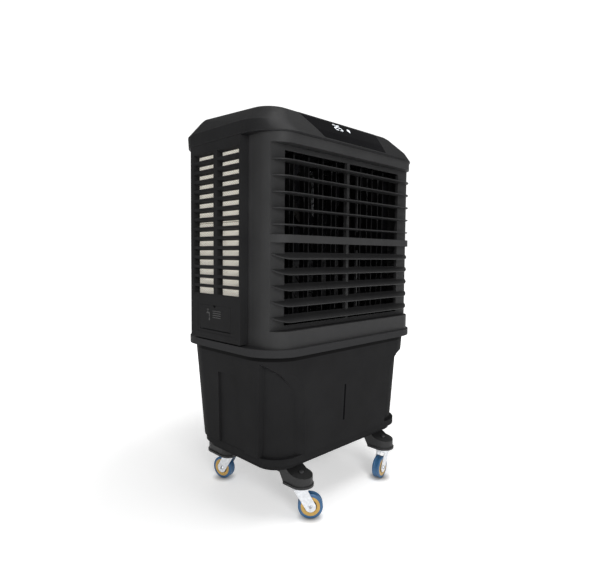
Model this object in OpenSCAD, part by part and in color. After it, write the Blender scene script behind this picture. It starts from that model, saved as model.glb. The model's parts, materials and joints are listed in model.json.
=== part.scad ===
// Portable evaporative cooler: a louvred fan body over a water tank on four castors.
// Millimetres, +Z up, front towards -Y, ground at Z = 0, centred in X and Y.

/* [Overall] */
// Depth over the tank rim and the top cover
overall_depth = 620; // [600:10:640]
// Width over the side grilles
grille_width = 978; // [970:2:986]
// Height of the top of the cover
top_height = 1595; // [1585:5:1610]

/* [Front bezel] */
// Width of the bezel and of the body behind it
bezel_width = 900; // [890:5:910]
// Setback of the bezel's front face from the rim's front edge
bezel_setback = 15; // [12:1:18]
// Height of the bezel's lower edge
bezel_low = 689; // [685:1:692]
// Height of the bezel's upper edge
bezel_high = 1476; // [1470:1:1480]
// Radius of the bezel's front corners in plan
bezel_radius = 90; // [80:5:100]
// Half width of the air outlet
outlet_half = 367; // [360:1:372]

/* [Louvers] */
// Distance between louver pivots
louver_pitch = 58.5; // [57:0.5:60]
// Height of the highest pivot of the upper group
upper_first = 1380; // [1378:1:1382]
// Height of the highest pivot of the lower group
lower_first = 1043; // [1040:1:1046]
// Downward tilt of the lower group at rest
lower_tilt = 27; // [20:1:30]
// Louvers in each group
louver_count = 5; // [5:1:5]
// Swing vanes behind the louvers
vane_count = 8; // [8:1:8]
// Angle of the vanes at rest
vane_angle = 20; // [10:1:25]

/* [Tank] */
// Half width of the tank wall under the rim
tank_top_half = 465; // [460:1:468]
// Half width of the tank wall at its foot
tank_low_half = 428; // [424:1:432]
// Wall thickness of the tank
tank_wall = 4; // [3:0.5:5]
// Depth of the corner recesses
recess_depth = 24; // [18:1:26]

/* [Intake grilles] */
// Height of the lowest window row
row_low = 873; // [870:1:876]
// Distance between window rows
row_pitch = 38; // [38:0.1:38.2]
// Window rows on each grille
row_count = 15; // [15:1:15]
// Height of one slat between two rows
slat_height = 11; // [9:1:13]

/* [Castors] */
// Wheel diameter
wheel_diameter = 100; // [98:1:100]
// Offset of the wheel axle from the swivel axis
trail = 36; // [32:1:38]
// Half of the distance between the left and right swivel axes
castor_x = 274; // [270:1:278]
// Position of the front swivel axes
castor_front = -256; // [-258:1:-254]
// Position of the rear swivel axes
castor_rear = 207; // [205:1:209]

/* [Hidden] */
LOUVERS = [for (i = [1:louver_count]) i];
VANES = [for (i = [1:vane_count]) i];
CORNERS = ["front_left", "front_right", "rear_left", "rear_right"];
SWIVELS = [[-castor_x, castor_front], [castor_x, castor_front], [-castor_x, castor_rear], [castor_x, castor_rear]];
TRAILING = [315, 191, 106, 60];
$fn = 48;

charcoal = "#2e2f31";
darker = "#222325";
zinc = "#c9ced2";
celluloid = "#d9c7a0";

pin_gap = 0.06;
body_gap = 0.4;
front = -overall_depth / 2;
back = overall_depth / 2;
rim_half = grille_width / 2 - 2;
rim_low = 660;
bezel_half = bezel_width / 2;
bezel_front = front + bezel_setback;
bezel_rear = bezel_front + 135;
shell = 4;
body_rear = back - 42;
recess_low = 754.5;
recess_high = 1439;
recess_floor = bezel_front + 47;
outlet_low = 771;
outlet_high = 1420;
louver_axis = recess_floor + 4;
louver_pin = 2.5;
crank_x = 82;
crank_reach = 16;
vane_axis = bezel_front + 105;
vane_low = 765;
vane_high = 1430;
vane_chord = 80;
vane_pitch = 82;
vane_crank = 28;
fan_z = (outlet_low + outlet_high) / 2;
tank_low = 252;
window_high = row_low + row_count * row_pitch;
grille_face = grille_width / 2;
grille_front = -140;
grille_back = 192;
grille_low = 695;
column = 137.5;
mullion = 25;
door_axis_z = 737;
foot_bottom = 131;
plate_thick = 4;
wheel_radius = wheel_diameter / 2;
fork_top = foot_bottom - plate_thick - body_gap;
cap_end = 324.24;

// Plan outline: a rectangle with round front and rear corners of their own radii.
module plan(half, y0, y1, r0, r1) {
    for (s = [-1, 1]) {
        translate([s * (half - r0), y0 + r0]) circle(r0);
        translate([s * (half - r1), y1 - r1]) circle(r1);
    }
    polygon([
        [-half, y0 + r0], [-half + r0, y0], [half - r0, y0], [half, y0 + r0],
        [half, y1 - r1], [half - r1, y1], [-half + r1, y1], [-half, y1 - r1]]);
}

// Thin slice of a plan outline, used as one end of a tapered shell.
module slice(z, half, y0, y1, r) {
    translate([0, 0, z]) linear_extrude(1) plan(half, y0, y1, r, r, $fn = 32);
}

module block(x0, x1, y0, y1, z0, z1) {
    translate([x0, y0, z0]) cube([x1 - x0, y1 - y0, z1 - z0]);
}

// Cylinder from a start point along one row axis.
module rod(p, axis, r, h) {
    translate(p) rotate(axis == "x" ? [0, 90, 0] : axis == "y" ? [-90, 0, 0] : [0, 0, 0]) cylinder(r = r, h = h);
}

// Tapered tank wall, taken in by t all round, from height z0 up.
module tank_taper(t, z0) {
    hull() {
        slice(z0, tank_low_half - t, front + 43 + t, back - 42 - t, 118 - t);
        slice(rim_low, tank_top_half - t, front + 23 + t, back - 19 - t, 140 - t);
    }
}

// Elevation of the left corner recess, g wider on its inner and upper sides.
module recess_outline(g) {
    translate([-440, 452]) circle(167 + g);
    polygon([[-262 + g, 235], [-273 + g, 452], [-440, 452], [-440, 619 + g], [-640, 619 + g], [-640, 235]]);
}

// Part of the same elevation that runs on round the corner, g larger at its upper edge.
module recess_return(g) {
    polygon([[-640, 626 + g], [-445, 624 + g], [-419 + g, 606 + g], [-393 + g, 588 + g], [-370 + g, 566 + g],
        [-354 + g, 545 + g], [-440, 452], [-640, 452]]);
}

// Outline drawn in the plane of the front wall, from depth y0 to y1 behind it.
module on_front_wall(y0, y1) {
    translate([0, front + 43, tank_low]) rotate([2.8, 0, 0]) translate([0, y1, -tank_low])
        rotate([90, 0, 0]) linear_extrude(y1 - y0) children();
}

module recess_side(g) {
    rotate([90, 0, 90]) translate([0, 0, -700]) linear_extrude(1400)
        polygon([[-420, 200], [-165 + g, 200], [-204 + g, 622], [-210 + g, 700], [-420, 700]]);
}

// Corner recesses with a chamfered border, cut down to a deeper wall.
module corner_recesses() {
    for (s = [0, 1]) mirror([s, 0, 0]) intersection() {
        union() {
            hull() {
                on_front_wall(-40, 0) recess_outline(0);
                on_front_wall(recess_depth, recess_depth + 1) recess_outline(-34);
            }
            on_front_wall(recess_depth - 4, 150) recess_outline(-36);
            on_front_wall(-36, 150) recess_return(0);
        }
        recess_side(0);
    }
}

// Shallow trapezoid on each end wall, g wider, cut to a depth.
module end_recesses(g, depth) {
    for (s = [0, 1]) mirror([s, 0, 0]) translate([-tank_low_half, 0, tank_low]) rotate([0, -5.2, 0])
        rotate([90, 0, 90]) translate([0, 0, -30]) linear_extrude(30 + depth)
            polygon([[-92 - g, -14], [78 + g, -14], [48 + g, 308 + g], [-68 - g, 308 + g]]);
}

module tank() color(darker) {
    difference() {
        union() {
            difference() {
                tank_taper(0, tank_low);
                difference() {
                    corner_recesses();
                    tank_taper(recess_depth, tank_low);
                }
                end_recesses(0, 9);
            }
            translate([0, 0, rim_low]) linear_extrude(bezel_low - rim_low) plan(rim_half, front, back, 150, 150);
            translate([0, 0, 226]) linear_extrude(27) plan(420, front + 51, back - 50, 110, 110);
            translate([0, 0, 204]) linear_extrude(23) plan(400, front + 72, back - 70, 92, 92);
            rod([150, back - 54, 243], "y", 16, 58);
        }
        difference() {
            tank_taper(tank_wall, tank_low + 4);
            for (s = [0, 1]) mirror([s, 0, 0]) intersection() {
                on_front_wall(-40, 150) {
                    recess_outline(5);
                    recess_return(8);
                }
                recess_side(5);
            }
            end_recesses(4, 13);
        }
        difference() {
            tank_taper(recess_depth + tank_wall, tank_low + 4);
            end_recesses(4, 13);
        }
        translate([0, 0, 230]) linear_extrude(27) plan(398, front + 68, back - 67, 90, 90);
        translate([0, 0, 209]) linear_extrude(30) plan(395, front + 77, back - 75, 88, 88);
        translate([0, 0, rim_low - 1]) linear_extrude(25) plan(459, front + 29, back - 25, 134, 134);
        translate([0, 0, rim_low - 1]) linear_extrude(40) plan(436, front + 38, back - 60, 84, 98);
        rod([150, back - 90, 243], "y", 10, 100);
        level_strip();
    }
}

module level_strip() {
    translate([-38, front + 30, 417]) rotate([2.8, 0, 0]) cube([10, 30, 155], center = true);
}

module level_window() color("#101214") {
    intersection() {
        level_strip();
        difference() {
            tank_taper(1, tank_low);
            tank_taper(5, tank_low);
        }
    }
}

// Plan of a moulded foot rail, g wider all round.
module rail_plan(g) {
    translate([0, castor_front]) circle(45 + g);
    translate([-45 - g, castor_front]) square([90 + 2 * g, castor_rear - castor_front]);
    translate([-3, 0]) for (sx = [-1, 1]) for (y = [180, back - 50]) translate([sx * 23, y]) circle(45 + g);
    translate([-71 - g, 180]) square([136 + 2 * g, back - 50 - 180]);
    translate([-26, back - 60]) square([46, 55 + g]);
    translate([-26, 135 - g]) square([46, 55]);
}

module foot_rail(side) {
    color(charcoal) translate([side * castor_x, 0, 0]) mirror([side > 0 ? 1 : 0, 0, 0]) difference() {
        union() {
            intersection() {
                translate([0, 0, foot_bottom]) linear_extrude(73) rail_plan(0);
                rotate([90, 0, 90]) translate([0, 0, -90]) linear_extrude(180) polygon([
                    [-305, foot_bottom], [-305, 170], [-240, 180], [-196, 204], [back, 204], [back, foot_bottom],
                    [136, foot_bottom], [112, 170], [-176, 170], [-200, foot_bottom]]);
            }
            intersection() {
                translate([0, 0, foot_bottom]) linear_extrude(9) rail_plan(4.5);
                union() {
                    block(-90, 90, -320, -200, foot_bottom, 150);
                    block(-90, 90, 136, back, foot_bottom, 150);
                }
            }
        }
        rod([0, castor_front, foot_bottom - 1], "z", 5, 60);
    }
}

module foot_bolts() color("#3a3b3d") for (s = [-1, 1]) {
    rod([s * castor_x, castor_front, foot_bottom], "z", 4.95, 50);
    translate([s * castor_x, castor_front, 179.4]) cylinder(r = 9, h = 7, $fn = 6);
}

module caster_plates() color(zinc) for (p = SWIVELS) translate([p[0], p[1], 0]) {
    rod([0, 0, foot_bottom - plate_thick], "z", 37, plate_thick);
    rod([0, 0, 108], "z", 6, 21);
    rod([0, 0, 106], "z", 9, 4);
}

module body_castor(index) {
    translate([SWIVELS[index][0], SWIVELS[index][1], 0]) rotate([0, 0, TRAILING[index]]) children();
}

// Swivel fork with its axle; the wheel trails along local +X.
module fork(index) color(zinc) body_castor(index) difference() {
    union() {
        rod([0, 0, 116], "z", 34, fork_top - 116);
        translate([0, 0, 110.4]) linear_extrude(6) polygon([[-27, -20], [20, -20], [20, 20], [-27, 20]]);
        for (s = [-1, 1]) translate([0, s * 18.75 + 1.25, 0]) rotate([90, 0, 0]) linear_extrude(2.5) {
            polygon([[-30, 116.4], [24, 116.4], [trail + 18, 62], [trail - 20, 42]]);
            translate([trail, wheel_radius]) circle(22);
        }
        rod([trail, -23, wheel_radius], "y", 4, 46);
        for (s = [-1, 1]) translate([trail, s * 22, wheel_radius]) rotate([90, 0, 0])
            cylinder(r = 8, h = 4, center = true, $fn = 6);
    }
    rod([0, 0, 100], "z", 6 + pin_gap, 40);
    rod([0, 0, 100], "z", 9.6, 10.6);
}

// Tyre and core, turned about the axle.
module wheel(index) color("#3f79ad") body_castor(index) translate([trail, 0, wheel_radius]) rotate([90, 0, 0])
    rotate_extrude() polygon([
        [4 + pin_gap, -15.5], [18, -15.5], [20, -9], [26, -9], [28, -14], [44, -15], [48.5, -12], [wheel_radius, -8.5],
        [wheel_radius, -6.5], [48, -5], [48, -3.5], [wheel_radius, -2], [wheel_radius, 2], [48, 3.5], [48, 5],
        [wheel_radius, 6.5], [wheel_radius, 8.5], [48.5, 12], [44, 15], [28, 14], [26, 9], [20, 9], [18, 15.5],
        [4 + pin_gap, 15.5]]);

// Front part of the body outline, cut off at y1.
module bezel_plan(t, y1) intersection() {
    plan(bezel_half - t, bezel_front + t, bezel_rear + 200, bezel_radius - t, bezel_radius - t);
    translate([-600, -400]) square([1200, 400 + y1]);
}

function louver_z(first, i) = first - (i - 1) * louver_pitch;
function vane_x(i) = (i - (vane_count + 1) / 2) * vane_pitch;

module front_bezel() color("#3b3c3f") difference() {
    union() {
        translate([0, 0, bezel_low]) linear_extrude(bezel_high - bezel_low) bezel_plan(0, bezel_rear);
    }
    block(-600, 600, front - 50, recess_floor, recess_low, 1080.5);
    block(-600, 600, front - 50, recess_floor, 1109.5, recess_high);
    translate([0, 0, bezel_low + shell]) linear_extrude(recess_low - bezel_low - 2 * shell)
        bezel_plan(shell, recess_floor + 8);
    translate([0, 0, recess_high + shell]) linear_extrude(bezel_high - recess_high - 2 * shell)
        bezel_plan(shell, recess_floor + 8);
    difference() {
        translate([0, 0, bezel_low + shell]) linear_extrude(bezel_high - bezel_low - 2 * shell) intersection() {
            bezel_plan(shell, bezel_rear + 1);
            translate([-600, recess_floor + shell]) square([1200, 200]);
        }
        for (z = [[vane_low - 13, vane_low - 9], [vane_high + 6, vane_high + 10]])
            block(-385, 385, recess_floor, bezel_rear - 5, z[0], z[1]);
        for (s = [-1, 1]) block(s * 370 - 3.2, s * 370 + 3.2, recess_floor, louver_axis + 10, outlet_low - 8, outlet_high + 8);
        block(-8, 8, recess_floor, recess_floor + 16, outlet_low - 15, outlet_high + 15);
    }
    difference() {
        block(-outlet_half, outlet_half, recess_floor - 1, recess_floor + 30, outlet_low, outlet_high);
        block(-8, 8, recess_floor + 0.5, recess_floor + 16, 600, 1500);
    }
    difference() {
        block(-600, 600, front, recess_floor - 0.1, 1080, 1110);
        linear_extrude(1500) difference() {
            bezel_plan(0, recess_floor);
            bezel_plan(4, recess_floor);
        }
        for (x = [-outlet_half - 6, 0, outlet_half + 6]) block(x - 2, x + 2, bezel_front, recess_floor + 5, 1080, 1110);
    }
    for (i = LOUVERS) for (first = [upper_first, lower_first])
        rod([-372, louver_axis, louver_z(first, i)], "x", louver_pin + pin_gap, 744);
    for (i = VANES) rod([vane_x(i), vane_axis, vane_low - 20], "z", 3 + pin_gap, 700);
}

// Horizontal air guide that turns on a long pivot rod; its outline follows the bezel's corners.
module louver_blade(z, tilt) {
    translate([0, louver_axis, z]) rotate([tilt, 0, 0]) translate([0, -louver_axis, 0]) difference() {
        union() {
            translate([0, 0, -2]) linear_extrude(4) difference() {
                bezel_plan(2, louver_axis);
                for (s = [-1, 1]) translate([s * 420, louver_axis]) square([120, 20], center = true);
                square([19, 2 * abs(louver_axis) + 20], center = true);
            }
            translate([0, 0, -2]) linear_extrude(4) intersection() {
                bezel_plan(2, louver_axis - 10);
                translate([-500, -400]) square([1000, 500]);
            }
            rod([-371, louver_axis, 0], "x", louver_pin, 742);
            block(crank_x - 6, crank_x - 3, louver_axis - 3, louver_axis + crank_reach + 3, -3, 3);
            rod([crank_x - 6, louver_axis + crank_reach, 0], "x", 2, 9);
        }
    }
}

module louver(first, i, tilt) color("#36373a") louver_blade(louver_z(first, i), tilt);

// Bar that keeps one group of louvers parallel.
module louver_link(first, tilt) {
    y = louver_axis + crank_reach * cos(tilt);
    dz = crank_reach * sin(tilt);
    color(darker) difference() {
        block(crank_x - 2, crank_x + 2, y - 5, y + 5,
            louver_z(first, louver_count) + dz - 8, first + dz + 8);
        for (i = LOUVERS) rod([crank_x - 5, y, louver_z(first, i) + dz], "x", 2 + pin_gap, 12);
    }
}

// Upright swing vane, turned about its own rod, notched at the foot for the link.
module vane(i) color(darker) translate([vane_x(i), vane_axis, 0]) {
    rotate([0, 0, -vane_angle]) {
        block(-1.5, 1.5, -vane_chord / 2, 0, vane_low, vane_high);
        block(-1.5, 1.5, 0, vane_chord / 2, vane_low + 28, vane_high);
        block(-4, 4, 0, vane_crank + 4, vane_low, vane_low + 4);
        rod([0, vane_crank, vane_low], "z", 2, 12);
    }
    rod([0, 0, vane_low - 8], "z", 4.5, vane_high - vane_low + 13.6);
    rod([0, 0, vane_low - 12.6], "z", 3, vane_high - vane_low + 24);
    if (i == 1) rod([0, 0, vane_low - 26], "z", 3, 20);
}

module vane_link() color(darker) translate([vane_crank * sin(vane_angle), vane_crank * cos(vane_angle), 0]) difference() {
    block(vane_x(1) - 8, vane_x(vane_count) + 8, vane_axis - 5, vane_axis + 5, vane_low + 5, vane_low + 9);
    for (i = VANES) rod([vane_x(i), vane_axis, vane_low], "z", 2 + pin_gap, 20);
}

module swing_motor() color("#c8cacc") difference() {
    union() {
        block(vane_x(1) - 24, vane_x(1) + 24, vane_axis - 20, vane_axis + 20, vane_low - 53, vane_low - 17);
        block(vane_x(1) - 34, vane_x(1) + 34, vane_axis - 8, vane_axis + 8, vane_low - 17, vane_low - 13);
    }
    rod([vane_x(1), vane_axis, vane_low - 30], "z", 3 + pin_gap, 30);
}

// Frame of the cable gland on the rear right corner, looking outwards along +X.
module at_gland() translate([bezel_half - 110, body_rear - 110, 730]) rotate([0, 0, 45]) children();

module body_frame() color(charcoal) difference() {
    union() {
        difference() {
            translate([0, 0, bezel_low]) linear_extrude(bezel_high - bezel_low) intersection() {
                plan(bezel_half, bezel_front, body_rear, 90, 110);
                translate([-600, bezel_rear]) square([1200, 500]);
            }
            translate([0, 0, bezel_low + 1]) linear_extrude(800) intersection() {
                plan(bezel_half - shell, bezel_front, body_rear - shell, 90, 110 - shell);
                translate([-600, bezel_rear - 10]) square([1200, 500]);
            }
            translate([0, 0, bezel_low - 1]) linear_extrude(800) intersection() {
                plan(bezel_half - 16, bezel_front, body_rear - 16, 90, 94);
                translate([-600, bezel_rear - 10]) square([1200, 500]);
            }
        }
        at_gland() rod([104, 0, 0], "x", 20, 8);
    }
    for (x = [-460, 440]) block(x, x + 20, -132, 172, 858, 1456);
    block(-316, 316, body_rear - 10, body_rear + 10, 858, 1456);
    rod([-460, 30, 785], "x", 13 + pin_gap, 20);
    at_gland() rod([90, 0, 0], "x", 12, 30);
}

// Thin outline of the cover at one height, wider at the rear than at the front.
module cover_slice(z, front_half, rear_half, y0, y1, front_radius, rear_radius) {
    for (s = [-1, 1]) {
        translate([s * (front_half - front_radius), y0 + front_radius, z]) cylinder(r = front_radius, h = 1);
        translate([s * (rear_half - rear_radius), y1 - rear_radius, z]) cylinder(r = rear_radius, h = 1);
    }
}

// One closed cover solid, taken in by t.
module cover_form(t) hull() {
    slice(bezel_high + (t > 0 ? -2 : 0), rim_half + 4 - t, front + 9 + t, back - t, 150 - t);
    slice(bezel_high + 5, rim_half + 4 - t, front + 9 + t, back - t, 150 - t);
    slice(1523 - t, rim_half + 1 - t, front + 46 + t, back - 3 - t, 132 - t);
    cover_slice(1583 - t, 415 - t, 441 - t, -205 + t, 232 - t, 92 - t, 66 - t);
    cover_slice(top_height - 1 - t, 400 - t, 429 - t, -190 + t, 214 - t, 84 - t, 48 - t);
}

module top_cover() color("#2f3033") {
    difference() {
        cover_form(0);
        cover_form(shell);
    }
    translate([0, 0, bezel_high]) linear_extrude(4) difference() {
        plan(rim_half + 1, front + 12, back - 3, 146, 146);
        plan(bezel_half - 14, front + 30, back - 58, 76, 96);
    }
}

// Touch panel that lies over the cover's front slope and the edge of its top.
module control_panel() color("#0b0c0e") difference() {
    intersection() {
        hull() {
            for (s = [-1, 1]) {
                translate([s * 196, -291, 1490]) cylinder(r = 4, h = 40, $fn = 16);
                translate([s * 244, -196, 1560]) cylinder(r = 4, h = 40, $fn = 16);
            }
        }
        translate([0, 0, 1.6]) cover_form(0.2);
    }
    cover_form(0);
}

module fan_shroud() color(darker) difference() {
    union() {
        block(-446, 446, -138, -135, bezel_low + 1, bezel_high);
        rod([0, -138, fan_z], "y", 338, 122);
        rod([0, -20, fan_z], "y", 372, 4);
    }
    rod([0, -150, fan_z], "y", 334, 150);
}

module fan_guard() color("#4a4c50") {
    for (r = [70, 130, 190, 250, 310, 350]) translate([0, -138, fan_z]) rotate([90, 0, 0]) difference() {
        cylinder(r = r, h = 4);
        translate([0, 0, -1]) cylinder(r = r - 3, h = 6);
    }
    for (a = [0, 45, 90, 135]) translate([0, 0, fan_z]) rotate([0, a, 0]) block(-360, 360, -142, -138, -2, 2);
}

module motor_bracket() color("#55585c") translate([0, -10, fan_z]) rotate([90, 0, 0]) linear_extrude(6) difference() {
    union() {
        for (a = [45, 135]) rotate(a) square([736, 34], center = true);
        circle(80);
    }
    circle(30);
}

module fan_motor() color("#6a6d70") {
    rod([0, -10, fan_z], "y", 74, 10);
    rod([0, 0, fan_z], "y", 66, 96);
    rod([0, 96, fan_z], "y", 54, 14);
    rod([0, -100, fan_z], "y", 8, 95);
    rod([0, -16, fan_z], "y", 29, 10);
}

module fan_rotor() color("#3c3e42") difference() {
    union() {
        rod([0, -104, fan_z], "y", 78, 72);
        for (a = [0:60:300]) translate([0, -68, fan_z]) rotate([0, a, 0]) intersection() {
            rotate([0, 0, 0]) translate([198, 0, 0]) rotate([28, 0, 0]) cube([252, 5, 142], center = true);
            rod([0, -36, 0], "y", 324, 72);
        }
    }
    rod([0, -110, fan_z], "y", 8 + pin_gap, 90);
    difference() {
        rod([0, -90, fan_z], "y", 70, 70);
        rod([0, -95, fan_z], "y", 20, 70);
    }
}

// Gutter outline round three sides of the body, taken in by t.
module gutter(t) intersection() {
    difference() {
        plan(bezel_half - shell - t, -400, body_rear - shell - t, 90, 106 - t);
        plan(402 + t, -500, body_rear - 54 + t, 90, 62 + t);
    }
    translate([-500, -128 + t]) square([1000, 500]);
}

module water_distributor() color("#d8d9da") difference() {
    translate([0, 0, 1458]) linear_extrude(15) gutter(0);
    translate([0, 0, 1461]) linear_extrude(20) gutter(3);
    for (s = [-1, 1]) for (y = [-110:20:130]) rod([s * 436, y, 1450], "z", 2, 20);
    for (x = [-300:30:270]) rod([x, body_rear - 12, 1450], "z", 2, 20);
    rod([280, body_rear - 40, 1450], "z", 8, 20);
}

module riser_pipe() color("#e4e6e8") difference() {
    rod([280, body_rear - 40, 321], "z", 10, 1137);
    rod([280, body_rear - 40, 320], "z", 7.5, 1140);
}

module pump() color("#1d1e20") difference() {
    union() {
        block(235, 325, 150, 226, 209, 290);
        rod([280, 196, 290], "z", 30, 16);
        block(262, 298, body_rear - 56, body_rear - 42, 290, 312);
        rod([280, body_rear - 40, 290], "z", 14, 31);
    }
    for (x = [243:12:317]) block(x, x + 5, 140, 156, 216, 250);
}

module inlet_connector() color("#b8a35c") difference() {
    union() {
        rod([-474, 30, 785], "x", 13, 30);
        translate([-454, 30, 785]) rotate([0, 90, 0]) cylinder(r = 19, h = 3.5, $fn = 6);
        rod([-446, 30, 785], "x", 20, 6);
        rod([-440, 30, 785], "x", 14, 26);
    }
    rod([-480, 30, 785], "x", 8, 80);
}

module float_valve() color("#e2e3e4") difference() {
    union() {
        rod([-400, 30, 640], "z", 12, 165);
        rod([-414, 30, 785], "x", 14, 14);
        block(-410, -392, 21, 39, 622, 660);
        for (y = [20, 36.6]) block(-396, -378, y, y + 3.4, 616, 646);
    }
    rod([-400, 30, 640], "z", 8, 160);
    rod([-420, 30, 785], "x", 8, 20);
    rod([-386, 15, 624], "y", 2 + pin_gap, 30);
}

// Lever with a float on its end, pivoted on the valve.
module float_arm() color("#ebe5d2") {
    block(-386, -270, 27, 33, 621, 627);
    rod([-386, 20.2, 624], "y", 2, 19.6);
    rod([-386, 26, 624], "y", 4, 8);
    rod([-262, 0, 606], "y", 34, 60);
}

module power_gland() color("#18191a") at_gland() difference() {
    union() {
        rod([100, 0, 0], "x", 11.9, 14);
        rod([112, 0, 0], "x", 17, 6);
        rod([118, 0, 0], "x", 12, 12);
    }
    rod([90, 0, 0], "x", 4.2, 60);
}

module drain_cap() color("#1b1c1e") difference() {
    union() {
        rod([150, back - 26, 243], "y", 21, 34);
        block(147, 153, back - 20, cap_end, 220, 266);
    }
    rod([150, back - 30, 243], "y", 16 + pin_gap, 34.4);
}

// Slats, jambs and mullions that fill a grille's window, drawn in its own plane: columns run
// along +X from x0, the outer face looks towards -Y, and the slats slope down to the pad at reach.
module window_slats(x0, columns, reach) {
    width = columns * column + (columns - 1) * mullion;
    top = row_low + row_count * row_pitch;
    for (r = [0:row_count]) translate([x0 - 1, 0, row_low + r * row_pitch - slat_height / 2])
        rotate([90, 0, 90]) linear_extrude(width + 2)
            polygon([[0.6, 0], [reach, 0.6 - reach / 4], [reach, 3.2 - reach / 4], [0.6, slat_height]]);
    for (x = [x0 - 3, x0 + width]) block(x, x + 3, 2, reach + 1.4, row_low - 14, top + 4);
    for (c = [1:columns - 1]) let (x = x0 + c * (column + mullion) - mullion) {
        block(x, x + mullion, 0.6, 7, row_low - 2, top + 2);
        for (side = [x, x + mullion - 3]) block(side, side + 3, 2, reach + 1.4, row_low - 14, top + 4);
    }
}

// Moulded intake panel in its own plane: width along X, outer face at Y = 0, back edge at Y = depth.
module intake_panel(x0, x1, depth, first, columns, reach, with_door) difference() {
    union() {
        difference() {
            union() {
                block(x0, x1, 0, depth, grille_low, 1466);
                intersection() {
                    translate([(x0 + x1) / 2, 0, 1486 - 1200]) rotate([-90, 0, 0]) cylinder(r = 1200, h = depth, $fn = 180);
                    block(x0, x1, 0, depth, 1460, 1475);
                }
            }
            block(x0 + 4, x1 - 4, 4, depth + 1, grille_low + 4, 1464);
            block(first, first + columns * column + (columns - 1) * mullion, -1, 5,
                row_low, row_low + row_count * row_pitch);
            if (with_door) {
                block(x0 + 63, x1 - 60, -1, 6, door_axis_z - 5, 833);
                block(x0 + 49, x1 - 47, -1, 1, door_axis_z - 17, 845);
            }
        }
        window_slats(first, columns, reach);
        if (with_door) for (x = [x0 + 57, x1 - 60]) block(x, x + 3, 1, 9, door_axis_z - 8, door_axis_z + 5);
    }
    if (with_door) rod([x0 + 55, 4, door_axis_z], "x", 2 + pin_gap, x1 - x0 - 100);
}

// Places a panel drawn in its own plane on the left side of the body.
module on_left() translate([-grille_face, 0, 0]) rotate([0, 0, -90]) children();

module left_grille() color(darker) on_left()
    intake_panel(-grille_back, -grille_front, grille_face - bezel_half - body_gap, -169, 2, 26, true);

module right_grille() color(darker) mirror([1, 0, 0]) on_left()
    intake_panel(-grille_back, -grille_front, grille_face - bezel_half - body_gap, -169, 2, 26, false);

module rear_grille() color(darker) translate([0, back - 2, 0]) rotate([0, 0, 180])
    intake_panel(-338, 338, 40 - body_gap, -312.5, 4, 9.2, false);

// Flip-down door over the water inlet, with a finger notch in its top edge.
module water_door() color(darker) on_left() {
    x0 = -grille_back + 60.4;
    x1 = -grille_front - 60.4;
    difference() {
        block(x0 + 3.2, x1 - 0.4, 1, 4, door_axis_z - 1, 832.4);
        rod([(x0 + x1) / 2, -1, 832], "y", 8, 8);
    }
    rod([x0 - 2.8, 4, door_axis_z], "x", 2, x1 - x0 + 5.4);
    block(x0 + 3.2, x1 - 0.4, 2, 6, door_axis_z - 2, door_axis_z + 2);
}

module side_pad(s) color(celluloid) {
    x0 = s > 0 ? 424 : -461;
    for (z = [[866, 1160], [1163, 1452]]) block(x0, x0 + 37, -128, 168, z[0], z[1]);
}

module rear_pad() color(celluloid) for (z = [[866, 1160], [1163, 1452]])
    block(-312, 312, body_rear - 24, back - 14, z[0], z[1]);

tank();
level_window();
foot_rail(-1);  // foot_rail_left
foot_rail(1);  // foot_rail_right
foot_bolts();
caster_plates();
front_bezel();
body_frame();
top_cover();
control_panel();
fan_shroud();
fan_guard();
motor_bracket();
fan_motor();
fan_rotor();
swing_motor();
water_distributor();
riser_pipe();
pump();
inlet_connector();
float_valve();
float_arm();
power_gland();
drain_cap();
left_grille();
side_pad(-1);  // left_pad
water_door();
right_grille();
side_pad(1);  // right_pad
rear_grille();
rear_pad();
for (i = LOUVERS) louver(upper_first, i, 0);
louver_link(upper_first, 0);  // upper_link
for (i = LOUVERS) louver(lower_first, i, lower_tilt);
louver_link(lower_first, lower_tilt);  // lower_link
for (i = VANES) vane(i);
vane_link();
for (i = [0:3]) fork(i);
for (i = [0:3]) wheel(i);
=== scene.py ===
"""Looks of a portable evaporative cooler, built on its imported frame.

The housing, water tank, louvers, panels and castors are dressed and refined here, one class per
sub-assembly. All lengths are in metres, with +Z up and the air outlet towards -Y.
"""

import json
import logging
import math
from dataclasses import dataclass, field
from enum import Enum
from typing import Callable, Optional, Sequence, Tuple

import bpy
from mathutils import Matrix, Vector

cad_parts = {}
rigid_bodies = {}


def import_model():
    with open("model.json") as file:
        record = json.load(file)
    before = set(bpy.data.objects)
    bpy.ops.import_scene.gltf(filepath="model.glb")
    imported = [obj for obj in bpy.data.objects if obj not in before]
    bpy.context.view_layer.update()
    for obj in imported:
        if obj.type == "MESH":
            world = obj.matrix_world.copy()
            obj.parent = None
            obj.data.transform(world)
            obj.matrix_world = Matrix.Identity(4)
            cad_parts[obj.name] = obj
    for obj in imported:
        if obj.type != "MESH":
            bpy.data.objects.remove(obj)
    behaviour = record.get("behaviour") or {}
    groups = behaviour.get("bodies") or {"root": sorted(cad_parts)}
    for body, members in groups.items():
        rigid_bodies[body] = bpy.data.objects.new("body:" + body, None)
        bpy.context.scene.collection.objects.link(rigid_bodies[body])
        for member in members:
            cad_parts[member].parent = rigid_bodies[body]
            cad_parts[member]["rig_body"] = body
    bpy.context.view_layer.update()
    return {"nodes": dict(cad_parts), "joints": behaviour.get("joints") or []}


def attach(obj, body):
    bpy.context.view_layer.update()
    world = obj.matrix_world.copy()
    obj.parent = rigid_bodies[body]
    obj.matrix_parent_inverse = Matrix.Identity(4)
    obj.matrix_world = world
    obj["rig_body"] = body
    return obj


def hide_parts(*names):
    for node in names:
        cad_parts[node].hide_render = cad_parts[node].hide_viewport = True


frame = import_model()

log = logging.getLogger("cooler")

Colour = Tuple[float, float, float]
Point = Tuple[float, float, float]


# ---------------------------------------------------------------- shader maths


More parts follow.
